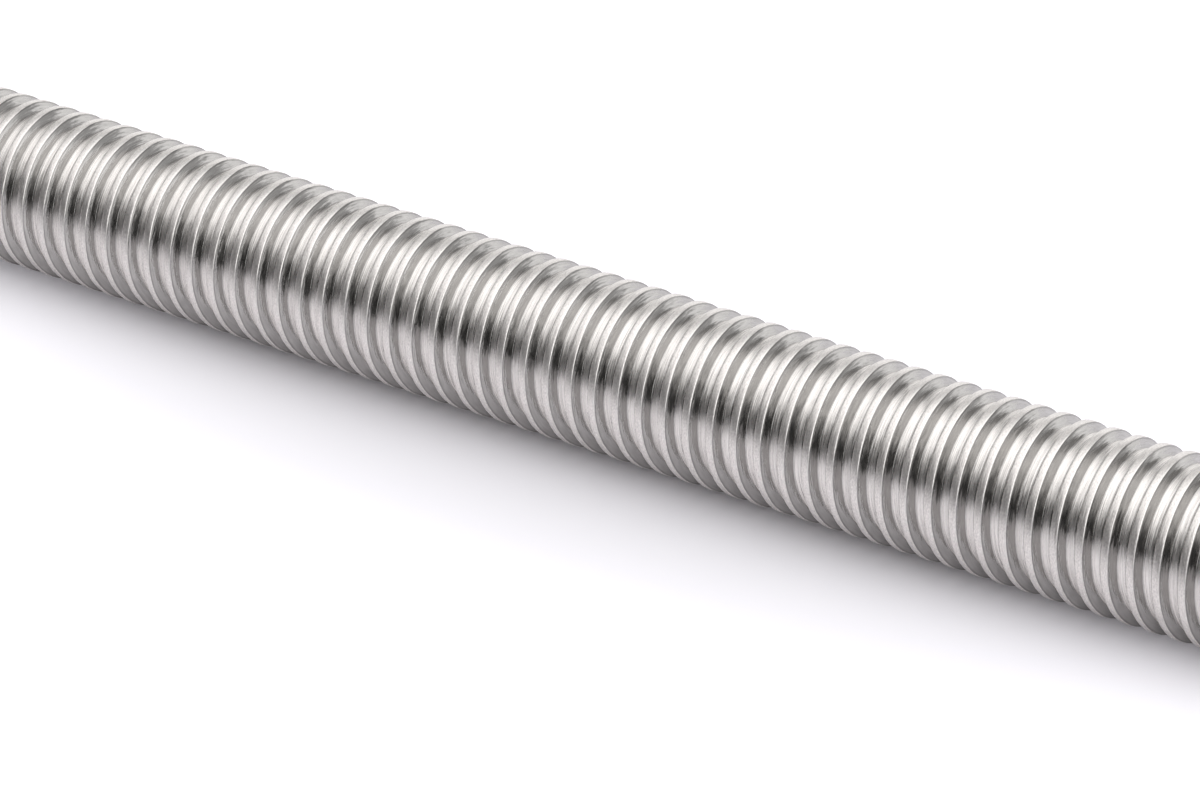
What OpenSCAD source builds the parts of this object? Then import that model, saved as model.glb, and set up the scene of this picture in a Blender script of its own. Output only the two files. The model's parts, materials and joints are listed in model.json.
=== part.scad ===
// Threaded rod: one bar of stainless steel with a right-hand single-start metric thread
// over its whole length and a chamfer on each square-cut end. It lies along +X.

/* [Rod] */
// Overall length, end face to end face
rod_length = 100; // [20:5:100]
// Nominal thread size, which a nut or a tapped hole is named by
nominal_d = 8; // [6:1:12]

/* [Thread] */
// Pitch, which is also the lead of this single-start thread
pitch = 1.25; // [1.25:0.25:1.75]
// Included angle of the groove between two crests
groove_angle = 60; // [55:1:65]
// How much smaller than nominal the pitch diameter is, so that a nut turns freely
nut_play = 0.08; // [0.03:0.01:0.14]
// Width of the flat on the crest, as a share of the pitch
crest_share = 0.19; // [0.14:0.01:0.22]
// Width of the flat at the bottom of the groove, as a share of the pitch
root_share = 0.28; // [0.2:0.01:0.3]
// Flat facets that stand for one turn of the helix
facets_per_turn = 18; // [12:2:18]

/* [Ends] */
// Slope of the chamfer, measured from the end face
chamfer_angle = 45; // [30:5:60]
// How far inside the bottom of the groove the chamfer starts
chamfer_inset = 0.2; // [0.1:0.05:0.5]

/* [Hidden] */

// Fineness of the exact round blank
$fn = 96;

// Metric profile: flanks meet in sharp triangles this tall, and the pitch diameter, where
// tooth and groove are equally wide, lies three eighths of that inside the nominal radius
sharp_height = pitch / 2 / tan(groove_angle / 2);
pitch_r = nominal_d / 2 - 3 / 8 * sharp_height - nut_play / 2;

// Flats cut the triangles short at the crest and at the root
crest_flat = pitch * crest_share;
root_flat = pitch * root_share;
flank_run = (pitch - crest_flat - root_flat) / 2;
major_r = pitch_r + (pitch / 2 - crest_flat) / 2 / tan(groove_angle / 2);
root_r = major_r - flank_run / tan(groove_angle / 2);

// Round blank: clear of the crests, with a chamfer cone down to each end face
blank_r = nominal_d / 2 + 1;
end_face_r = root_r - chamfer_inset;
chamfer_run = (blank_r - end_face_r) * tan(chamfer_angle);

// The helix runs one turn past each end face, where the blank trims it
turns = ceil(rod_length / pitch) + 2;
stations = turns * facets_per_turn;
helix_start = -turns * pitch / 2;

// One tooth of the thread, as [along the axis, out from the axis], from root to root
tooth = [
    [0, root_r],
    [flank_run, major_r],
    [flank_run + crest_flat, major_r],
    [flank_run + crest_flat + flank_run, root_r]
];
tooth_points = len(tooth);

// Each facet's corners stand out this much, so that the flat-sided turn has the area of a
// true circle, and half a facet of turn puts a flat side straight down, where the rod rests
half_facet = 180 / facets_per_turn;
corner_factor = sqrt((half_facet * PI / 90) / sin(2 * half_facet));

// Point j of the tooth at station s, carried along a right-hand helix about the X axis
function helix_point(s, j) =
    let (
        turned = s * 360 / facets_per_turn + half_facet,
        corner_r = tooth[j][1] * corner_factor
    )
    [
        helix_start + s * pitch / facets_per_turn + tooth[j][0],
        corner_r * sin(turned),
        -corner_r * cos(turned)
    ];

// Where helix_point(s, j) stands in the list of points
function at(s, j) = s * tooth_points + j;

// One solid screw thread with its core: a tooth swept along the helix, each turn's root
// joined to the next turn's tooth, and a fan from a point on the axis closing each end
module thread_helix() {
    start_centre = (stations + 1) * tooth_points;
    end_centre = start_centre + 1;
    last_turn = stations - facets_per_turn;

    points = concat(
        [for (s = [0 : stations], j = [0 : tooth_points - 1]) helix_point(s, j)],
        [[helix_start, 0, 0], [helix_start + turns * pitch + pitch, 0, 0]]
    );

    tooth_faces = [
        for (s = [0 : stations - 1], j = [0 : tooth_points - 2])
            [at(s, j), at(s, j + 1), at(s + 1, j + 1), at(s + 1, j)]
    ];
    root_faces = [
        for (s = [0 : last_turn - 1])
            [
                at(s, tooth_points - 1),
                at(s + facets_per_turn, 0),
                at(s + 1 + facets_per_turn, 0),
                at(s + 1, tooth_points - 1)
            ]
    ];
    start_fan = concat(
        [for (s = [0 : facets_per_turn - 1]) [start_centre, at(s, 0), at(s + 1, 0)]],
        [for (j = [0 : tooth_points - 2]) [start_centre, at(0, j + 1), at(0, j)]],
        [[start_centre, at(facets_per_turn, 0), at(0, tooth_points - 1)]]
    );
    end_fan = concat(
        [
            for (s = [last_turn : stations - 1])
                [end_centre, at(s + 1, tooth_points - 1), at(s, tooth_points - 1)]
        ],
        [
            for (j = [0 : tooth_points - 2])
                [end_centre, at(stations, j), at(stations, j + 1)]
        ],
        [[end_centre, at(last_turn, tooth_points - 1), at(stations, 0)]]
    );
    polyhedron(points, concat(tooth_faces, root_faces, start_fan, end_fan), convexity = 10);
}

// Round blank with a chamfer cone at each end, which sets the length and trims the helix
module chamfered_blank() {
    half = rod_length / 2;
    rotate([0, 90, 0])
        rotate_extrude()
            polygon([
                [0, -half],
                [end_face_r, -half],
                [blank_r, -half + chamfer_run],
                [blank_r, half - chamfer_run],
                [end_face_r, half],
                [0, half]
            ]);
}

module threaded_rod() {
    color("silver")
        intersection() {
            chamfered_blank();
            thread_helix();
        }
}

threaded_rod();
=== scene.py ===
# Threaded rod: the bright stainless steel surface of an M8 threaded rod, and the studio that
# shows it. The rod's thread is one rolled helix, cut to length by two turned, chamfered ends.
import json
import math

import bpy
from mathutils import Matrix, Vector


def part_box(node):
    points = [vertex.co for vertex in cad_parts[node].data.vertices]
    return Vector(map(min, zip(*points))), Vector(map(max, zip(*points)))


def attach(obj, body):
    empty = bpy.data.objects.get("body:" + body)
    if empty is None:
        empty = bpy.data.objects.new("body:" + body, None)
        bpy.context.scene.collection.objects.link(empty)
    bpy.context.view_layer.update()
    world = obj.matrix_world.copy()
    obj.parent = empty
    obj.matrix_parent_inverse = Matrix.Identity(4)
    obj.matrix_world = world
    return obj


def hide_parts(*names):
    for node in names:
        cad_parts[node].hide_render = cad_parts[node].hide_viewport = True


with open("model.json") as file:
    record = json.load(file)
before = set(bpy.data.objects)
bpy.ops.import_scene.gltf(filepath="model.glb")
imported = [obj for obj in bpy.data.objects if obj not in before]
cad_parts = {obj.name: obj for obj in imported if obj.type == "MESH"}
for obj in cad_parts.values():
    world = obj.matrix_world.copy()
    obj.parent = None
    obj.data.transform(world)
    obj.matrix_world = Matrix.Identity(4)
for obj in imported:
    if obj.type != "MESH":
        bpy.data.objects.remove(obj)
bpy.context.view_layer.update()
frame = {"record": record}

bl_info = {
    "name": "Threaded Rod",
    "version": (1, 0, 0),
    "blender": (4, 5, 0),
    "location": "View3D > Sidebar > Threaded Rod",
    "description": "A metric threaded rod with rolled threads, and a pale studio to show it in",
    "category": "Add Mesh",
}

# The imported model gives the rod's length and the radius of its crests
NODE_LOW, NODE_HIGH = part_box("threaded_rod")
ROD_LENGTH = NODE_HIGH[0] - NODE_LOW[0]
THREAD_MOUNT = next(m for m in frame["record"]["mounts"] if m["name"] == "thread")
CREST_RADIUS = THREAD_MOUNT["dims"]["r_mm"] / 1000

MM = 0.001


# ---------------------------------------------------------------- node tree helpers


class Field:
    """A value in a node tree that plain arithmetic can be written with."""

    def __init__(self, tree, socket):
        self.tree = tree
        self.socket = socket

    def __add__(self, other):
        return calc(self.tree, "ADD", self, other)

    def __radd__(self, other):
        return calc(self.tree, "ADD", other, self)

    def __sub__(self, other):
        return calc(self.tree, "SUBTRACT", self, other)

    def __rsub__(self, other):
        return calc(self.tree, "SUBTRACT", other, self)

    def __mul__(self, other):
        return calc(self.tree, "MULTIPLY", self, other)

    def __rmul__(self, other):
        return calc(self.tree, "MULTIPLY", other, self)

    def __truediv__(self, other):
        return calc(self.tree, "DIVIDE", self, other)

    def __rtruediv__(self, other):
        return calc(self.tree, "DIVIDE", other, self)

    def __lt__(self, other):
        return calc(self.tree, "LESS_THAN", self, other)

    def __gt__(self, other):
        return calc(self.tree, "GREATER_THAN", self, other)


def feed(tree, value, socket):
    """Link a socket to a field or another socket, or set it to a plain value."""
    if isinstance(value, Field):
        value = value.socket
    if isinstance(value, bpy.types.NodeSocket):
        tree.links.new(value, socket)
    else:
        socket.default_value = value


def calc(tree, operation, *values):
    """One Math node, as a field."""
    node = tree.nodes.new("ShaderNodeMath")
    node.operation = operation
    for value, socket in zip(values, node.inputs):
        feed(tree, value, socket)
    return Field(tree, node.outputs["Value"])


def clamp01(value):
    """Hold a field between 0 and 1."""
    field = value + 0
    field.socket.node.use_clamp = True
    return field


def mix(a, b, share):
    """From a at share 0 to b at share 1."""
    return share * (b - a) + a


def step(tree, value, start, end):
    """0 up to start, 1 from end on, and a smooth step between them."""
    node = place(tree, "ShaderNodeMapRange", interpolation_type="SMOOTHSTEP")
    feed(tree, value, node.inputs["Value"])
    feed(tree, start, node.inputs["From Min"])
    feed(tree, end, node.inputs["From Max"])
    return Field(tree, node.outputs["Result"])


def band(tree, value, middle, offsets):
    """1 inside a band and 0 outside: where it starts and ends to rise, and to fall, from middle."""
    rise, full, fall, gone = (middle + offset for offset in offsets)
    return step(tree, value, rise, full) * (1 - step(tree, value, fall, gone))


def place(tree, kind, inputs=None, **settings):
    """Add a node, set its properties and feed its inputs by name."""
    node = tree.nodes.new(kind)
    for name, value in settings.items():
        setattr(node, name, value)
    for name, value in (inputs or {}).items():
        feed(tree, value, node.inputs[name])
    return node


def source(tree, kind, output):
    """What a node without inputs reads, as a field."""
    return Field(tree, tree.nodes.new(kind).outputs[output])


def vector(tree, x, y, z):
    """Three fields as one vector socket."""
    return place(tree, "ShaderNodeCombineXYZ", {"X": x, "Y": y, "Z": z}).outputs["Vector"]


def split(tree, value):
    """A vector as three fields."""
    node = place(tree, "ShaderNodeSeparateXYZ", {"Vector": value})
    return [Field(tree, node.outputs[axis]) for axis in "XYZ"]


def distance(tree, a, b):
    """How far a point lies from the axis that a and b are measured from."""
    return calc(tree, "SQRT", a * a + b * b)


def declare(tree, side, sockets):
    """Give a node group its named inputs or outputs, from (name, kind, default) rows."""
    for name, kind, *default in sockets:
        socket = tree.interface.new_socket(name, in_out=side, socket_type="NodeSocket" + kind)
        if default:
            socket.default_value = default[0]


def group_inputs(tree):
    """The group's own inputs, by name."""
    node = tree.nodes.new("NodeGroupInput")
    return {s.name: Field(tree, s) for s in node.outputs if s.name}


# ---------------------------------------------------------------- sizes and finishes


class RodSizes(bpy.types.PropertyGroup):
    """Sizes of the rod and of its thread."""

    length: bpy.props.FloatProperty(
        name="Length", description="End face to end face",
        default=ROD_LENGTH, unit="LENGTH", subtype="DISTANCE",
    )
    crest_radius: bpy.props.FloatProperty(
        name="Crest radius", description="Half of the major diameter",
        default=CREST_RADIUS, unit="LENGTH", subtype="DISTANCE",
    )
    pitch: bpy.props.FloatProperty(
        name="Pitch", description="Crest to crest along the rod",
        default=1.25 * MM, unit="LENGTH", subtype="DISTANCE",
    )
    groove_angle: bpy.props.FloatProperty(
        name="Groove angle", description="Angle between the flanks of one groove",
        default=math.radians(60), unit="ROTATION", subtype="ANGLE",
    )
    crest_share: bpy.props.FloatProperty(
        name="Crest flat",
        description="Width of the crest before rounding, as a share of the pitch",
        default=0.275, subtype="FACTOR",
    )
    root_share: bpy.props.FloatProperty(
        name="Root flat",
        description="Width of the root before rounding, as a share of the pitch",
        default=0.35, subtype="FACTOR",
    )
    crest_dome: bpy.props.FloatProperty(
        name="Crest dome", description="How far the rounded crest leans over at its edges",
        default=math.radians(4), unit="ROTATION", subtype="ANGLE",
    )
    crest_rounding: bpy.props.FloatProperty(
        name="Crest rounding", description="Radius where a flank turns into the crest",
        default=0.065 * MM, unit="LENGTH", subtype="DISTANCE",
    )
    root_rounding: bpy.props.FloatProperty(
        name="Root rounding", description="Radius where a flank turns into the root",
        default=0.015 * MM, unit="LENGTH", subtype="DISTANCE",
    )
    crest_offset: bpy.props.FloatProperty(
        name="Crest offset",
        description="Where a crest crosses the underside, in pitches from mid-length",
        default=-0.045, subtype="FACTOR",
    )
    facets: bpy.props.IntProperty(
        name="Facets", description="Facets in one turn of the helix",
        default=54,
    )
    chamfer_angle: bpy.props.FloatProperty(
        name="Chamfer angle", description="Slope of the end chamfers, from the end face",
        default=math.radians(45), unit="ROTATION", subtype="ANGLE",
    )
    chamfer_inset: bpy.props.FloatProperty(
        name="Chamfer inset", description="How far inside the thread's root the chamfers start",
        default=0.2 * MM, unit="LENGTH", subtype="DISTANCE",
    )


class SteelFinish(bpy.types.PropertyGroup):
    """Colour and roughness of the steel."""

    colour: bpy.props.FloatVectorProperty(
        name="Steel", description="Colour of bright stainless steel",
        default=(0.83, 0.795, 0.77), subtype="COLOR", size=3, min=0, max=1,
    )
    # Painted shade: the flanks' darker colour stands in for the shade down the sides of the groove
    flank_shade_colour: bpy.props.FloatVectorProperty(
        name="Flanks", description="Colour of the flanks, duller where the rolling dies pressed",
        default=(0.555, 0.54, 0.526), subtype="COLOR", size=3, min=0, max=1,
    )
    flank_roughness: bpy.props.FloatProperty(
        name="Flank roughness", description="Roughness of the rolled flanks",
        default=0.13, subtype="FACTOR",
    )
    crest_roughness: bpy.props.FloatProperty(
        name="Crest roughness", description="Roughness of the crests",
        default=0.35, subtype="FACTOR",
    )
    root_roughness: bpy.props.FloatProperty(
        name="Root roughness", description="Roughness at the bottom of the groove",
        default=0.28, subtype="FACTOR",
    )


class StudioSetup(bpy.types.PropertyGroup):
    """Camera, floor and light."""

    azimuth: bpy.props.FloatProperty(
        name="Azimuth", description="Camera's direction round the rod",
        default=math.radians(35.8), unit="ROTATION", subtype="ANGLE",
    )
    elevation: bpy.props.FloatProperty(
        name="Elevation", description="Camera's height above the horizon",
        default=math.radians(26.2), unit="ROTATION", subtype="ANGLE",
    )
    distance: bpy.props.FloatProperty(
        name="Distance", description="From the camera to the middle of the rod",
        default=0.295, unit="LENGTH", subtype="DISTANCE",
    )
    lens: bpy.props.FloatProperty(
        name="Lens", description="Focal length in millimetres",
        default=200.5,
    )
    floor_colour: bpy.props.FloatVectorProperty(
        name="Floor", description="Colour of the table top",
        default=(0.84, 0.827, 0.862), subtype="COLOR", size=3, min=0, max=1,
    )
    brightness: bpy.props.FloatProperty(
        name="Brightness", description="Level of the studio's soft lights",
        default=1.0,
    )


# ---------------------------------------------------------------- the rod's mesh

# Half a tooth is a row of points, from the middle of the crest to the root
DOME_STEPS = 2      # points on the dome of the crest, inside its corner
CREST_STEPS = 2     # facets round the crest's corner
FLANK_POINTS = 2    # points that hold the flank flat
ROOT_STEPS = 3      # facets round the root's corner
LAST_CREST = DOME_STEPS + CREST_STEPS       # index of the last point of the crest's corner
FIRST_ROOT = LAST_CREST + FLANK_POINTS + 1  # index of the first point of the root's corner
HALF_POINTS = FIRST_ROOT + ROOT_STEPS + 1
FLANK_EDGE = 0.03   # how near its ends the flank is held flat, as a share of its width

SPARE_TURNS = 5     # turns past the length, where the helix closes and is cut away
MERGE_DISTANCE = 1e-6   # points closer than this, in metres, become one
BLANK_FACETS = 96   # facets round the blank, and so round each chamfer
CREASE_ANGLE = math.radians(32)     # edges sharper than this aren't shaded smooth
END_TOLERANCE = 0.5e-6              # how far from an end a face still counts as the end face


def profile_point(tree, index, given):
    """Point index of half a tooth: how far from the crest's middle, and how far from the axis.

    The first points are on the crest's dome, then come the crest's corner, two points that hold
    the flank flat, and the root's rounded corner. The root's radius is returned as well.
    """
    pitch = given["Pitch"]
    slope = given["Groove Angle"] / 2
    steep = calc(tree, "TANGENT", slope)
    crest_half = pitch * given["Crest Flat"] / 2
    root_half = pitch * given["Root Flat"] / 2
    root_radius = given["Crest Radius"] - (pitch / 2 - crest_half - root_half) / steep

    # The crest is a shallow arc that leans over by the dome's angle where the corner starts
    dome = calc(tree, "TANGENT", given["Crest Dome"])
    crest_round = given["Crest Rounding"]
    dome_end = math.pi / 2 - given["Crest Dome"]
    corner_x = calc(tree, "COSINE", slope) - calc(tree, "COSINE", dome_end)
    corner_r = calc(tree, "SINE", slope) - calc(tree, "SINE", dome_end)
    corner_width = crest_round * (corner_r * steep + corner_x)
    dome_half = (crest_half - corner_width) / (1 - dome * steep / 2)
    on_dome = clamp01((index + 0.5) / (DOME_STEPS + 0.5))
    crest_angle = mix(dome_end, slope, clamp01((index - DOME_STEPS) / CREST_STEPS))
    crest_x = dome_half * on_dome + crest_round * (
        calc(tree, "COSINE", crest_angle) - calc(tree, "COSINE", dome_end)
    )
    crest_r = given["Crest Radius"] - dome_half * dome / 2 * on_dome * on_dome + crest_round * (
        calc(tree, "SINE", crest_angle) - calc(tree, "SINE", dome_end)
    )

    # The root's corner turns from the flank's slope to flat
    root_round = given["Root Rounding"]
    corner = math.pi / 2 - slope
    tangent = calc(tree, "TANGENT", corner / 2)
    root_angle = math.pi + slope + corner * clamp01((index - FIRST_ROOT) / ROOT_STEPS)
    root_x = pitch / 2 - root_half + root_round * (calc(tree, "COSINE", root_angle) + tangent)
    root_r = root_radius + root_round * (calc(tree, "SINE", root_angle) + 1)

    flank = clamp01(FLANK_EDGE + (index - LAST_CREST - 1) * (1 - 2 * FLANK_EDGE))
    return mix(crest_x, root_x, flank), mix(crest_r, root_r, flank), root_radius


def helix_mesh(tree, given):
    """A grid bent into one closed helix: a tooth's profile carried round the axis turn by turn."""
    points = 2 * HALF_POINTS
    pitch = given["Pitch"]
    facets = given["Facets"]
    turns = calc(tree, "CEIL", given["Length"] / pitch) + SPARE_TURNS

    grid = place(tree, "GeometryNodeMeshGrid", {
        "Vertices X": turns * facets + 1,
        "Vertices Y": points + 1,
    })
    index = source(tree, "GeometryNodeInputIndex", "Index")

    # Halves of a step keep every whole number clear of the edge it is compared with
    station = calc(tree, "FLOOR", (index + 0.5) / (points + 1))
    column = index - station * (points + 1)

    # The last column is the next turn's first one
    next_turn = column > (points - 0.5)
    column = column - next_turn * points
    turn = station / facets + next_turn

    from_middle = column - (points - 1) / 2
    half_index = calc(tree, "ABSOLUTE", from_middle) - 0.5
    side = calc(tree, "SIGN", from_middle)
    half_x, radius, root_radius = profile_point(tree, half_index, given)

    # Whole turns from the middle of the rod, so that the crest's offset is kept at any length
    whole = calc(tree, "FLOOR", turns / 2)
    angle = turn * (2 * math.pi)
    x = pitch * (turn - whole + given["Crest Offset"]) + side * half_x

    # The first and the last turn shrink to a point on the axis, which closes the helix
    first = turn < (1 - 0.5 / facets)
    last = turn > (turns - 1 - 0.5 / facets)
    tip = (last - first) * (given["Length"] / 2 + SPARE_TURNS * pitch)
    kept = 1 - first - last
    position = vector(
        tree,
        x * kept + tip,
        radius * kept * calc(tree, "SINE", angle),
        radius * kept * calc(tree, "COSINE", angle) * -1,
    )
    bent = place(tree, "GeometryNodeSetPosition", {
        "Geometry": grid.outputs["Mesh"],
        "Position": position,
    })
    merged = place(tree, "GeometryNodeMergeByDistance", {
        "Geometry": bent.outputs["Geometry"],
        "Distance": MERGE_DISTANCE,
    })
    return merged.outputs["Geometry"], root_radius


def blank_mesh(tree, given, root_radius):
    """A round bar with a chamfer cone down to each end face, clear of the crests between them."""
    # Four rings, half a unit and one and a half units either side of the middle: the outer two
    # become the end faces' edges, and the inner two the chamfers' outer edges
    cylinder = place(tree, "GeometryNodeMeshCylinder", {
        "Vertices": BLANK_FACETS,
        "Side Segments": 3,
        "Radius": 1.0,
        "Depth": 3.0,
    })
    across, up, along = split(tree, source(tree, "GeometryNodeInputPosition", "Position"))
    end = calc(tree, "ABSOLUTE", along) > 1
    face_radius = root_radius - given["Chamfer Inset"]
    bar_radius = given["Crest Radius"] + given["Pitch"]
    run = (bar_radius - face_radius) * calc(tree, "TANGENT", given["Chamfer Angle"])
    radius = mix(bar_radius, face_radius, end)
    half = given["Length"] / 2 - run * (1 - end)
    turned = place(tree, "GeometryNodeSetPosition", {
        "Geometry": cylinder.outputs["Mesh"],
        "Position": vector(tree, calc(tree, "SIGN", along) * half, across * radius, up * radius),
    })
    return turned.outputs["Geometry"]


def rod_tree():
    """The geometry nodes of the whole rod: the helix, trimmed by the turned blank."""
    tree = bpy.data.node_groups.new("Threaded rod", "GeometryNodeTree")
    declare(tree, "INPUT", [
        ("Length", "Float"),
        ("Crest Radius", "Float"),
        ("Pitch", "Float"),
        ("Groove Angle", "Float"),
        ("Crest Flat", "Float"),
        ("Root Flat", "Float"),
        ("Crest Dome", "Float"),
        ("Crest Rounding", "Float"),
        ("Root Rounding", "Float"),
        ("Crest Offset", "Float"),
        ("Facets", "Int"),
        ("Chamfer Angle", "Float"),
        ("Chamfer Inset", "Float"),
        ("Thread Steel", "Material"),
        ("End Steel", "Material"),
    ])
    declare(tree, "OUTPUT", [("Geometry", "Geometry")])
    given = group_inputs(tree)

    helix, root_radius = helix_mesh(tree, given)
    blank = blank_mesh(tree, given, root_radius)
    trimmed = place(tree, "GeometryNodeMeshBoolean", operation="INTERSECT", solver="MANIFOLD")
    tree.links.new(helix, trimmed.inputs["Mesh"])
    tree.links.new(blank, trimmed.inputs["Mesh"])

    smooth = place(tree, "GeometryNodeSetShadeSmooth", {"Geometry": trimmed.outputs["Mesh"]})
    edge_angle = source(tree, "GeometryNodeInputMeshEdgeAngle", "Unsigned Angle")
    creased = place(tree, "GeometryNodeSetShadeSmooth", {
        "Geometry": smooth.outputs["Geometry"],
        "Selection": edge_angle > CREASE_ANGLE,
        "Shade Smooth": False,
    }, domain="EDGE")

    rolled = place(tree, "GeometryNodeSetMaterial", {
        "Geometry": creased.outputs["Geometry"],
        "Material": given["Thread Steel"],
    })
    real = place(tree, "GeometryNodeRealizeInstances", {"Geometry": rolled.outputs["Geometry"]})
    along = split(tree, source(tree, "GeometryNodeInputPosition", "Position"))[0]
    from_end = given["Length"] / 2 - calc(tree, "ABSOLUTE", along)
    faced = place(tree, "GeometryNodeSetMaterial", {
        "Geometry": real.outputs["Geometry"],
        "Selection": from_end < END_TOLERANCE,
        "Material": given["End Steel"],
    })
    out = tree.nodes.new("NodeGroupOutput")
    tree.links.new(faced.outputs["Geometry"], out.inputs["Geometry"])
    return tree


def plain_mesh(name, tree, values):
    """Run a geometry tree with the given inputs, and return its result as a plain mesh object."""
    host = bpy.data.objects.new(name + "_host", bpy.data.meshes.new(name + "_host"))
    bpy.context.collection.objects.link(host)
    modifier = host.modifiers.new("Geometry Nodes", "NODES")
    modifier.node_group = tree
    for item in tree.interface.items_tree:
        if item.item_type == "SOCKET" and item.in_out == "INPUT":
            modifier[item.identifier] = values[item.name]
    depsgraph = bpy.context.evaluated_depsgraph_get()
    mesh = bpy.data.meshes.new_from_object(
        host.evaluated_get(depsgraph), preserve_all_data_layers=True, depsgraph=depsgraph
    )
    host.modifiers.remove(modifier)
    bpy.data.objects.remove(host)
    mesh.name = name
    piece = bpy.data.objects.new(name, mesh)
    bpy.context.collection.objects.link(piece)
    return piece


# ---------------------------------------------------------------- the steel

# Marks: scale along the helix per millimetre, scale across it per pitch, shift and detail
STREAKS = (1.3, 26, 0, 3.0)     # short streaks, all over the thread
LINES = (0.06, 22, 7, 1.0)      # long lines at the bottom of the groove
GRAIN = (9, 20, 0, 1.0)         # fine grain on the crests
STREAK_SHADE, LINE_SHADE, GRAIN_SHADE = 0.5, 0.9, 0.7   # how much they lighten and darken
STREAK_TILT, LINE_TILT = 0.36, 0.22     # how much they tilt the surface round the axis
STREAK_ROUGHNESS = 0.12                 # how much they vary the roughness
MARK_BUMP = 0.5                         # share of the bump's height that each of them takes
MARK_HEIGHT = 0.014 * MM

# Bands across the tooth, in pitches from the edge of the crest's or the root's flat
CREST_END = (-0.01, 0.02)
ROOT_START = (-0.01, 0.09)
CREST_SHADOW_BAND = (0, 0.015, 0.02, 0.05)    # painted shadow along the top of each flank, under the crest's edge
CREASE_SHADE_BAND = (-0.03, 0, 0.005, 0.035)         # painted shade in the crease where each flank meets the root
FAR_EDGE_SHADE_BAND = (-0.03, -0.005, 0.01, 0.03)       # painted shade along the crest's edge on its side towards -X
CREST_SHADOW_DEPTH, CREASE_SHADE_DEPTH, FAR_EDGE_SHADE_DEPTH = 0.35, 0.1, 0.12  # how much darker the painted shade makes them

RINGS = 9               # scale of the end faces' turned rings, per millimetre
RING_ROUGHNESS = 0.2    # how much they vary the roughness
RING_BUMP = 0.4
RING_HEIGHT = 0.02 * MM

# Colour sockets of a Mix node, whose names are shared with its other sockets
MIX_A, MIX_B, MIX_RESULT = 6, 7, 2


def new_material(name):
    """A new node material, with its tree and its shader."""
    material = bpy.data.materials.new(name)
    material.use_nodes = True
    tree = material.node_tree
    return material, tree, tree.nodes["Principled BSDF"]


def noise(tree, x, y, detail, roughness=0.6):
    """Smooth noise round 0.5, at a place given as two fields."""
    node = place(tree, "ShaderNodeTexNoise", {
        "Vector": vector(tree, x, y, 0.0),
        "Scale": 1.0,
        "Detail": detail,
        "Roughness": roughness,
    })
    return Field(tree, node.outputs["Fac"])


def marks(tree, along, across, kind):
    """One kind of mark in the steel, laid along the helix."""
    scale_along, scale_across, shift, detail = kind
    return noise(tree, along * scale_along, across * scale_across + shift, detail)


def tilt_round_axis(tree, amount):
    """The surface's normal, tilted by a field round the rod's axis."""
    y, z = split(tree, source(tree, "ShaderNodeTexCoord", "Object"))[1:]
    radius = distance(tree, y, z)
    slant = vector(tree, 0.0, z / radius * amount, y / radius * amount * -1)
    tilted = place(tree, "ShaderNodeVectorMath", operation="ADD")
    feed(tree, source(tree, "ShaderNodeNewGeometry", "Normal"), tilted.inputs[0])
    feed(tree, slant, tilted.inputs[1])
    return tilted.outputs["Vector"]


def thread_coordinates():
    """Where a point of the thread lies, along the helix and across it.

    Along is in millimetres of helix. Across is in pitches, 0 on the crest's middle and half a
    pitch away in the root, and it is negative on the crest's side towards -X.
    """
    tree = bpy.data.node_groups.new("Thread coordinates", "ShaderNodeTree")
    declare(tree, "INPUT", [
        ("Pitch", "Float"),
        ("Crest Offset", "Float"),
        ("Crest Radius", "Float"),
    ])
    declare(tree, "OUTPUT", [("Along", "Float"), ("Across", "Float")])
    given = group_inputs(tree)
    x, y, z = split(tree, source(tree, "ShaderNodeTexCoord", "Object"))
    turn = calc(tree, "ARCTAN2", y, z * -1) / (2 * math.pi)
    pitches = x / given["Pitch"] - turn - given["Crest Offset"]
    whole = calc(tree, "FLOOR", pitches + 0.5)
    circumference = given["Crest Radius"] * (2 * math.pi / MM)
    out = tree.nodes.new("NodeGroupOutput")
    feed(tree, (whole + turn) * circumference, out.inputs["Along"])
    feed(tree, pitches - whole, out.inputs["Across"])
    return tree


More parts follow.
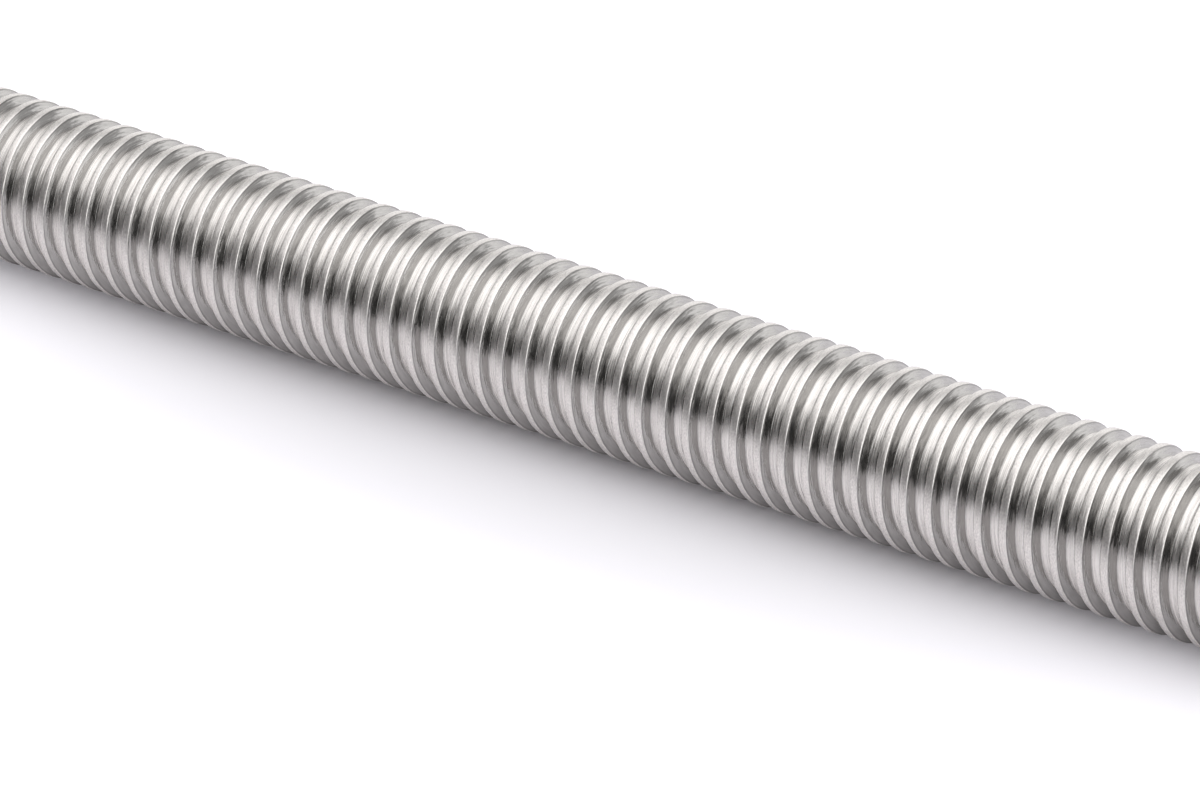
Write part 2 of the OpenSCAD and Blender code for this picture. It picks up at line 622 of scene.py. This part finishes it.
def rolled_steel(sizes, finish):
    """Thread steel: streaked along the helix, bright on crest and root, with painted shade: a
    darker colour on the flanks and dark bands under the crests, in the creases at the root and
    along each crest's edge towards -X.
    """
    material, tree, shader = new_material("rolled_thread_steel")
    on_thread = place(tree, "ShaderNodeGroup", node_tree=thread_coordinates())
    on_thread.inputs["Pitch"].default_value = sizes.pitch
    on_thread.inputs["Crest Offset"].default_value = sizes.crest_offset
    on_thread.inputs["Crest Radius"].default_value = sizes.crest_radius
    along, across = (Field(tree, on_thread.outputs[name]) for name in ("Along", "Across"))
    streak, line, grain = (marks(tree, along, across, kind) for kind in (STREAKS, LINES, GRAIN))

    from_crest = calc(tree, "ABSOLUTE", across)
    crest_edge = sizes.crest_share / 2
    root_edge = 0.5 - sizes.root_share / 2
    crest = 1 - step(tree, from_crest, *(crest_edge + offset for offset in CREST_END))
    root = step(tree, from_crest, *(root_edge + offset for offset in ROOT_START))
    flank = (1 - crest) * (1 - root)
    # Painted shadow under each crest's edge
    painted_crest_shadow = band(tree, from_crest, crest_edge, CREST_SHADOW_BAND)
    # Painted shade in the crease where each flank meets the root
    painted_crease_shade = band(tree, from_crest, root_edge, CREASE_SHADE_BAND)
    # Painted shade along each crest's edge on its side towards -X
    painted_far_edge_shade = band(tree, across, -crest_edge, FAR_EDGE_SHADE_BAND)

    roughness = (
        finish.flank_roughness
        + crest * (finish.crest_roughness - finish.flank_roughness)
        + root * (finish.root_roughness - finish.flank_roughness)
    )
    roughness = roughness + (streak - 0.5) * STREAK_ROUGHNESS
    feed(tree, roughness, shader.inputs["Roughness"])

    # The flanks get the darker flank colour here: painted shade of the groove's sides
    colour = place(tree, "ShaderNodeMix", data_type="RGBA")
    feed(tree, flank, colour.inputs["Factor"])
    colour.inputs[MIX_A].default_value = (*finish.colour, 1)
    colour.inputs[MIX_B].default_value = (*finish.flank_shade_colour, 1)
    marked = (
        (streak - 0.5) * STREAK_SHADE
        + (line - 0.5) * root * LINE_SHADE
        + (grain - 0.5) * crest * GRAIN_SHADE
    )
    shade = 1 + marked
    # These bands darken the steel's colour: painted shade
    for dark, amount in (
        (painted_crest_shadow, CREST_SHADOW_DEPTH),
        (painted_crease_shade, CREASE_SHADE_DEPTH),
        (painted_far_edge_shade, FAR_EDGE_SHADE_DEPTH),
    ):
        shade = shade * (1 - dark * amount)
    shaded = place(tree, "ShaderNodeVectorMath", {"Scale": shade}, operation="SCALE")
    tree.links.new(colour.outputs[MIX_RESULT], shaded.inputs[0])
    tree.links.new(shaded.outputs["Vector"], shader.inputs["Base Color"])
    shader.inputs["Metallic"].default_value = 1

    tilt = (streak - 0.5) * STREAK_TILT + (line - 0.5) * LINE_TILT
    bump = place(tree, "ShaderNodeBump", {
        "Height": streak * MARK_BUMP + line * root * MARK_BUMP + grain * crest * MARK_BUMP,
        "Strength": 1.0,
        "Distance": MARK_HEIGHT,
        "Normal": tilt_round_axis(tree, tilt),
    })
    tree.links.new(bump.outputs["Normal"], shader.inputs["Normal"])
    return material


def turned_steel(finish):
    """End steel: faced on a lathe, with fine rings round the axis."""
    material, tree, shader = new_material("turned_end_steel")
    y, z = split(tree, source(tree, "ShaderNodeTexCoord", "Object"))[1:]
    radius = distance(tree, y, z) / MM
    ring = noise(tree, radius * RINGS, 0.0, detail=2.0, roughness=0.5)
    roughness = finish.root_roughness + (ring - 0.5) * RING_ROUGHNESS
    feed(tree, roughness, shader.inputs["Roughness"])
    shader.inputs["Base Color"].default_value = (*finish.colour, 1)
    shader.inputs["Metallic"].default_value = 1
    bump = place(tree, "ShaderNodeBump", {
        "Height": ring,
        "Strength": RING_BUMP,
        "Distance": RING_HEIGHT,
    })
    tree.links.new(bump.outputs["Normal"], shader.inputs["Normal"])
    return material


class MESH_OT_threaded_rod(bpy.types.Operator):
    """Make the threaded rod: its helix, its chamfered ends and its steel"""

    bl_idname = "mesh.threaded_rod"
    bl_label = "Threaded Rod"

    def execute(self, context):
        sizes = context.scene.rod_sizes
        finish = context.scene.rod_finish
        rod = plain_mesh("rolled_rod", rod_tree(), {
            "Length": sizes.length,
            "Crest Radius": sizes.crest_radius,
            "Pitch": sizes.pitch,
            "Groove Angle": sizes.groove_angle,
            "Crest Flat": sizes.crest_share,
            "Root Flat": sizes.root_share,
            "Crest Dome": sizes.crest_dome,
            "Crest Rounding": sizes.crest_rounding,
            "Root Rounding": sizes.root_rounding,
            "Crest Offset": sizes.crest_offset,
            "Facets": sizes.facets,
            "Chamfer Angle": sizes.chamfer_angle,
            "Chamfer Inset": sizes.chamfer_inset,
            "Thread Steel": rolled_steel(sizes, finish),
            "End Steel": turned_steel(finish),
        })
        if not rod.data.polygons:
            raise RuntimeError("the rod's geometry nodes made no faces")
        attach(rod, "root")
        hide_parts("threaded_rod")
        return {"FINISHED"}


# ---------------------------------------------------------------- the studio

FLOOR_SIZE = 5.0
FLOOR_ROUGHNESS = 0.9
FLOOR_STRETCH = 0.1         # how much less a distance along the rod counts than one across it
FLOOR_FADE = (8, 55)        # millimetres from the rod where the table, as the steel mirrors it, dims: painted shade in the steel's reflection
FLOOR_DIM = 0.65            # how much dimmer that painted shade makes it
LIFT_REACH = (5, 20)        # millimetres from the rod where the camera's lift of the table grows, so that it paints shade round the rod
FLOOR_LIFT = (0.02, 0.42)   # that lift, at the rod and away from it: weaker near the rod, a painted shadow
LIFT_COLOUR = (0.95, 0.93, 1, 1)

# Levels of the room that lights the rod and that the steel mirrors
FRONT = 0.5         # the camera's side
RIGHT = 1.65        # that side, towards the camera's right
OVERHEAD = 1.5      # the soft light over the rod
GAP = 0.45          # the gap between that light and the wall behind the rod
BACK = 1.1          # that wall
DARK = 0.04         # the dark part, low at the camera's left
GLOW = 0.05         # where that part meets the table
FAR_END = 0.5       # how much darker the room is, low beyond the rod's nearer end

# Where one level gives way to the next, from start to end. A direction has length 1
TO_RIGHT = (-0.1, 0.35)     # by the direction's x
TO_OVERHEAD = (20, 55)      # by degrees over the rod
TO_GAP = (-0.45, -0.08)     # by how far past the gap's middle
TO_BACK = (0.08, 0.34)
GLOW_TO_DARK = (2, 14)      # by degrees over the camera
DARK_TO_ROOM = (8, 69)
FAR_END_X = (0.7, 0.95)     # by the direction's x, and then by its z
FAR_END_Z = (0.05, 0.35)
DARK_TURN = math.radians(38)            # compass direction, from the rod's front, of the dark part
GAP_X, GAP_Y, GAP_Z = -0.3, 0.63, -0.72     # direction square to the gap

AIM_RIGHT, AIM_DOWN = -0.14 * MM, 1.66 * MM     # what the camera aims at, from the rod's middle
CLIP_START = 0.01       # metres in front of the camera where its view starts


def studio_world(studio):
    """A bright room with a long soft light over the rod, a gap and a wall behind it.

    It is dark low at the camera's left and dimmer beyond the rod's nearer end. Only the camera
    sees a white backdrop in its place: the steel mirrors the room.
    """
    world = bpy.data.worlds.new("studio")
    world.use_nodes = True
    tree = world.node_tree
    background = tree.nodes["Background"]
    x, y, z = split(tree, source(tree, "ShaderNodeTexCoord", "Generated"))

    # Angles in degrees: over the rod from the front, and over the camera from its left
    over_rod = calc(tree, "ARCTAN2", z, y * -1) * (180 / math.pi)
    side = x * math.cos(DARK_TURN) + y * math.sin(DARK_TURN)
    over_camera = calc(tree, "ARCTAN2", z, side * -1) * (180 / math.pi)

    front = mix(FRONT, RIGHT, step(tree, x, *TO_RIGHT))
    room = mix(front, OVERHEAD, step(tree, over_rod, *TO_OVERHEAD))
    past_gap = y * GAP_Y + x * GAP_X + z * GAP_Z
    room = mix(room, GAP, step(tree, past_gap, *TO_GAP))
    room = mix(room, BACK, step(tree, past_gap, *TO_BACK))
    left = mix(GLOW, DARK, step(tree, over_camera, *GLOW_TO_DARK))
    far_end = step(tree, x, *FAR_END_X) * (1 - step(tree, z, *FAR_END_Z))
    light = mix(left, room, step(tree, over_camera, *DARK_TO_ROOM)) * (1 - far_end * FAR_END)
    light = light * studio.brightness
    camera_ray = source(tree, "ShaderNodeLightPath", "Is Camera Ray")
    feed(tree, mix(light, 1.0, camera_ray), background.inputs["Strength"])
    background.inputs["Color"].default_value = (1, 1, 1, 1)
    return world


def table_top(studio, height):
    """A white table under the rod, lifted to white for the camera and still taking the shadow. The
    lift is weaker near the rod, which paints extra shade round it.

    The steel mirrors it dimmer in front of the rod, away from it: for all rays but the camera's its
    colour is painted darker there, a painted shade in the steel's reflection.
    """
    half = FLOOR_SIZE / 2
    mesh = bpy.data.meshes.new("table_top")
    corners = [(x * half, y * half, height) for x, y in ((-1, -1), (1, -1), (1, 1), (-1, 1))]
    mesh.from_pydata(corners, [], [(0, 1, 2, 3)])
    table = bpy.data.objects.new("table_top", mesh)
    bpy.context.collection.objects.link(table)
    material, tree, shader = new_material("white_table")
    shader.inputs["Roughness"].default_value = FLOOR_ROUGHNESS
    shader.inputs["Emission Color"].default_value = LIFT_COLOUR
    camera_ray = source(tree, "ShaderNodeLightPath", "Is Camera Ray")
    x, y = split(tree, source(tree, "ShaderNodeTexCoord", "Object"))[:2]
    from_rod = calc(tree, "SQRT", x * x * FLOOR_STRETCH + y * y) / MM
    # Painted shade: the camera's lift is weakest near the rod, which darkens the table round it
    lift = mix(*FLOOR_LIFT, step(tree, from_rod, *LIFT_REACH))
    feed(tree, lift * camera_ray, shader.inputs["Emission Strength"])
    # Painted shade: the table's colour dims in front of the rod for all rays but the camera's
    fade = step(tree, from_rod, *FLOOR_FADE) * (y < 0) * (1 - camera_ray) * FLOOR_DIM
    colour = place(tree, "ShaderNodeVectorMath", {"Scale": 1 - fade}, operation="SCALE")
    colour.inputs[0].default_value = studio.floor_colour
    tree.links.new(colour.outputs["Vector"], shader.inputs["Base Color"])
    mesh.materials.append(material)
    return table


def studio_camera(studio):
    """A long lens that looks down on the middle of the rod."""
    azimuth = studio.azimuth
    elevation = studio.elevation
    back = Vector((
        math.cos(elevation) * math.sin(azimuth),
        -math.cos(elevation) * math.cos(azimuth),
        math.sin(elevation),
    ))
    right = Vector((math.cos(azimuth), math.sin(azimuth), 0))
    up = back.cross(right)
    camera = bpy.data.objects.new("camera", bpy.data.cameras.new("camera"))
    camera.data.lens = studio.lens
    camera.data.clip_start = CLIP_START
    aim = right * AIM_RIGHT - up * AIM_DOWN
    turn = Matrix((right, up, back)).transposed().to_4x4()
    camera.matrix_world = Matrix.Translation(aim + back * studio.distance) @ turn
    bpy.context.collection.objects.link(camera)
    return camera


class SCENE_OT_rod_studio(bpy.types.Operator):
    """Make the studio: a white table, soft light in bands, and the camera"""

    bl_idname = "scene.rod_studio"
    bl_label = "Studio"

    def execute(self, context):
        studio = context.scene.rod_studio
        sizes = context.scene.rod_sizes
        context.scene.world = studio_world(studio)
        table_top(studio, -sizes.crest_radius)
        context.scene.camera = studio_camera(studio)
        context.scene.view_settings.view_transform = "Standard"
        return {"FINISHED"}


class VIEW3D_PT_threaded_rod(bpy.types.Panel):
    """Sidebar panel with the rod's sizes, its finish and the studio"""

    bl_label = "Threaded Rod"
    bl_idname = "VIEW3D_PT_threaded_rod"
    bl_space_type = "VIEW_3D"
    bl_region_type = "UI"
    bl_category = "Threaded Rod"

    def draw(self, context):
        scene = context.scene
        for settings, operator in (
            (scene.rod_sizes, None),
            (scene.rod_finish, MESH_OT_threaded_rod),
            (scene.rod_studio, SCENE_OT_rod_studio),
        ):
            column = self.layout.column()
            for name in settings.__annotations__:
                column.prop(settings, name)
            if operator:
                column.operator(operator.bl_idname)


SETTINGS = {"rod_sizes": RodSizes, "rod_finish": SteelFinish, "rod_studio": StudioSetup}
CLASSES = (*SETTINGS.values(), MESH_OT_threaded_rod, SCENE_OT_rod_studio, VIEW3D_PT_threaded_rod)


def register():
    for cls in CLASSES:
        bpy.utils.register_class(cls)
    for name, cls in SETTINGS.items():
        setattr(bpy.types.Scene, name, bpy.props.PointerProperty(type=cls))


def unregister():
    for name in SETTINGS:
        delattr(bpy.types.Scene, name)
    for cls in reversed(CLASSES):
        bpy.utils.unregister_class(cls)


def main():
    register()
    bpy.ops.scene.rod_studio()
    bpy.ops.mesh.threaded_rod()


if __name__ == "__main__":
    main()
